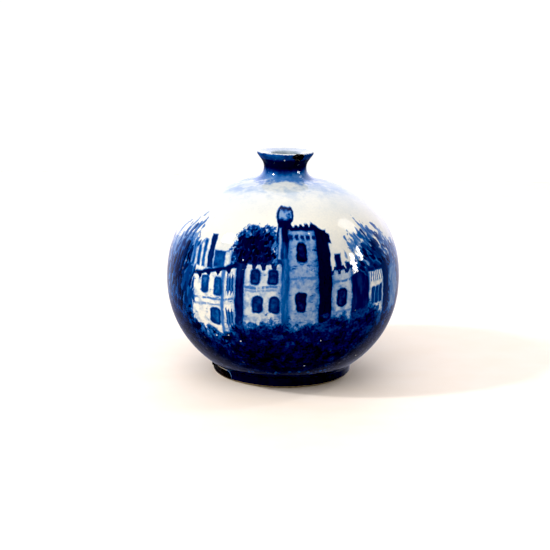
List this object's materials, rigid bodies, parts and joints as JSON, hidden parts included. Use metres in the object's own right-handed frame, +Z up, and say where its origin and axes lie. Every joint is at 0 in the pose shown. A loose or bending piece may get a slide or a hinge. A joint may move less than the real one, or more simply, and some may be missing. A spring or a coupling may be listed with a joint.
{
  "type": "miniature globular vase",
  "caption": "Small round-bodied blue-and-white vase with a short flared neck, a narrow mouth and a low foot ring, for display or a few short stems.",
  "frame": {"origin": "centre of the circle that the foot ring stands on, on the table", "axes": "+Z up along the vase's axis of revolution, out of the mouth; +X to the right and -Y to the front as the painted castle is seen"},
  "size_m": [0.064, 0.064, 0.0611],
  "materials": {
    "biscuit_clay": "matt fired earthenware, stained brown where a chip or the foot's edge is bare",
    "slip": "matt fired slip",
    "painted_glaze": "glossy glaze over a cobalt blue painting on white",
    "white_glaze": "glossy white glaze"
  },
  "bodies": {
    "root": {"foot_ring": "biscuit_clay", "lower_bowl": "biscuit_clay", "upper_bowl": "biscuit_clay", "neck": "biscuit_clay", "foot_joint_slip": "slip", "waist_joint_slip": "slip", "neck_joint_slip": "slip", "outer_glaze": "painted_glaze", "inner_glaze": "white_glaze", "base_glaze": "white_glaze"}
  },
  "joints": []
}
